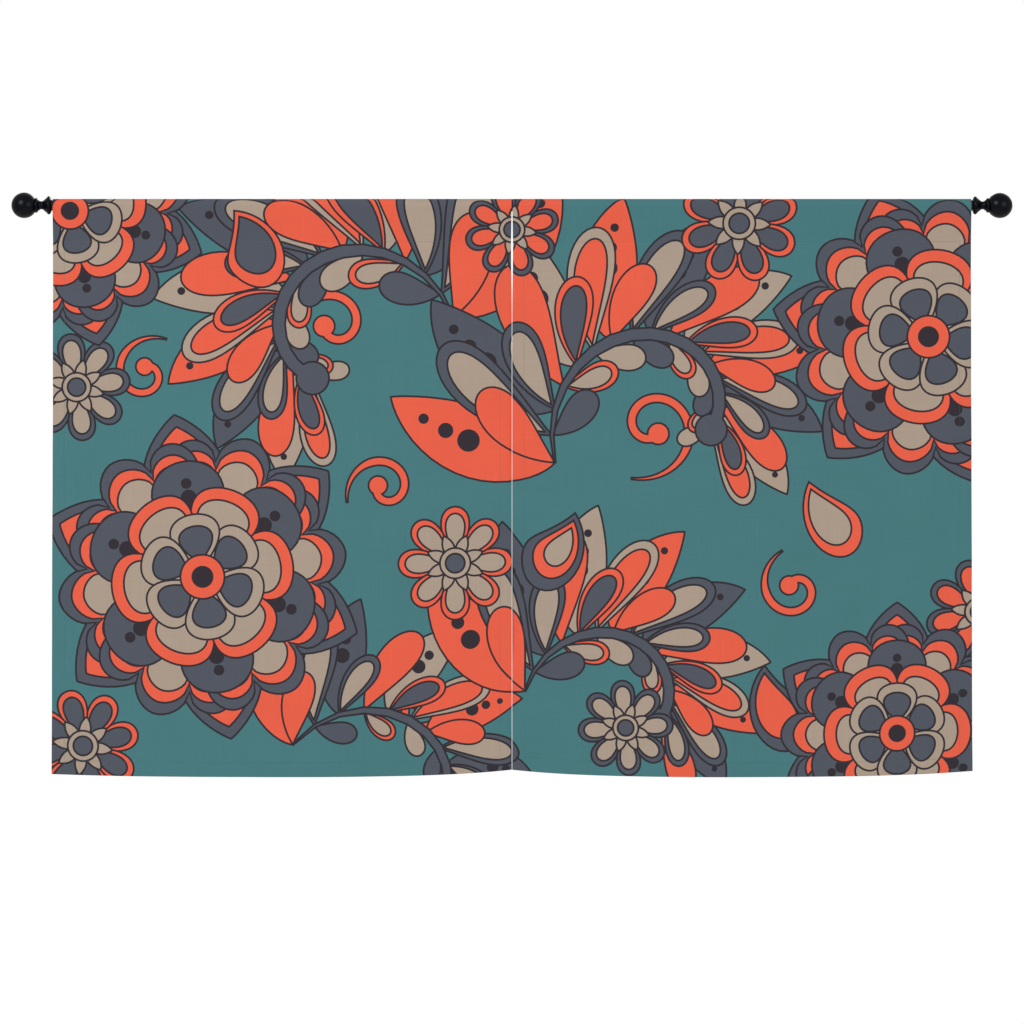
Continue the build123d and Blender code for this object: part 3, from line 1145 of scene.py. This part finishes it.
class CURTAIN_OT_stage(Operator):
    """Lay the floor and set the surroundings, the lights and the camera"""

    bl_idname = "curtain.stage"
    bl_label = "Floor, lights and camera"

    def execute(self, context):
        stage = context.scene.curtain_stage
        scene = context.scene
        scene.view_settings.view_transform = "Standard"
        scene.view_settings.look = "None"
        middle = (0, 0, stage.view_height)
        material, tree, skin = new_material("pale_floor")
        place = put(tree, "ShaderNodeTexCoord").outputs["Object"]
        rough = calc(tree, "MULTIPLY_ADD", noise(tree, place, 60.0, 3.0), 0.1, 0.75)
        tree.links.new(rough, skin.inputs["Roughness"])
        skin.inputs["Base Color"].default_value = (*stage.floor, 1)
        turn = np.linspace(0, 2 * np.pi, FLOOR_SIDES, endpoint=False)
        radii = np.linspace(0.25, 2.2, FLOOR_RINGS)[:, None]
        level = FLOOR_Z + 0 * radii * turn
        rim = np.stack([radii * np.cos(turn), radii * np.sin(turn), level], axis=-1)
        quads = band_faces(FLOOR_RINGS, FLOOR_SIDES) + [list(range(FLOOR_SIDES))]
        floor = new_piece("floor", rim.reshape(-1, 3), quads, [material])
        light("key_light", (-2.9, -4.2, 2.0), middle, 2.6, stage.key)
        light("fill_light", (3.4, -4.0, 0.6), middle, 3.2, stage.fill)
        light("back_light", (1.2, 4.2, 1.6), middle, 3.0, 0.6 * stage.key)
        world = bpy.data.worlds.new("White surroundings")
        world.use_nodes = True
        sky = world.node_tree
        sky.nodes.clear()
        path = put(sky, "ShaderNodeLightPath").outputs["Is Camera Ray"]
        strength = calc(sky, "MULTIPLY_ADD", path, 1 - stage.sky, stage.sky)
        shine = put(sky, "ShaderNodeBackground", None, {"Color": (1, 1, 1, 1), "Strength": strength})
        put(sky, "ShaderNodeOutputWorld", None, {"Surface": shine.outputs[0]})
        scene.world = world
        lens = bpy.data.cameras.new("camera")
        lens.lens, lens.sensor_width = stage.lens, 36
        lens.clip_end = 60
        camera = bpy.data.objects.new("camera", lens)
        away = stage.view_width * stage.lens / lens.sensor_width
        camera.location = (0, -away, stage.view_height)
        camera.rotation_euler = (math.pi / 2, 0, 0)
        scene.collection.objects.link(camera)
        scene.camera = camera
        return {"FINISHED"}


class CURTAIN_PT_sidebar(Panel):
    """Lists every step and the settings that it reads."""

    bl_label = "Window curtains"
    bl_idname = "CURTAIN_PT_sidebar"
    bl_space_type = "VIEW_3D"
    bl_region_type = "UI"
    bl_category = "Curtains"

    def draw(self, context):
        for step in STEPS:
            self.layout.operator(step.bl_idname)
        for name in SETTINGS:
            box = self.layout.box()
            settings = getattr(context.scene, name)
            for field in settings.__annotations__:
                box.prop(settings, field)


SETTINGS = {
    "curtain_cloth": ClothSettings,
    "curtain_sewing": SewingSettings,
    "curtain_rod": RodSettings,
    "curtain_stage": StageSettings,
}
STEPS = (
    CURTAIN_OT_rod,
    CURTAIN_OT_finials,
    CURTAIN_OT_panels,
    CURTAIN_OT_stitching,
    CURTAIN_OT_stage,
)
CLASSES = (*SETTINGS.values(), *STEPS, CURTAIN_PT_sidebar)


def register():
    for kind in CLASSES:
        bpy.utils.register_class(kind)
    for name, kind in SETTINGS.items():
        setattr(bpy.types.Scene, name, PointerProperty(type=kind))


def unregister():
    for name in SETTINGS:
        delattr(bpy.types.Scene, name)
    for kind in reversed(CLASSES):
        bpy.utils.unregister_class(kind)


def main():
    """Builds everything in order."""
    register()
    bpy.ops.curtain.rod()
    bpy.ops.curtain.finials()
    bpy.ops.curtain.panels()
    bpy.ops.curtain.stitching()
    bpy.ops.curtain.stage()


if __name__ == "__main__":
    main()
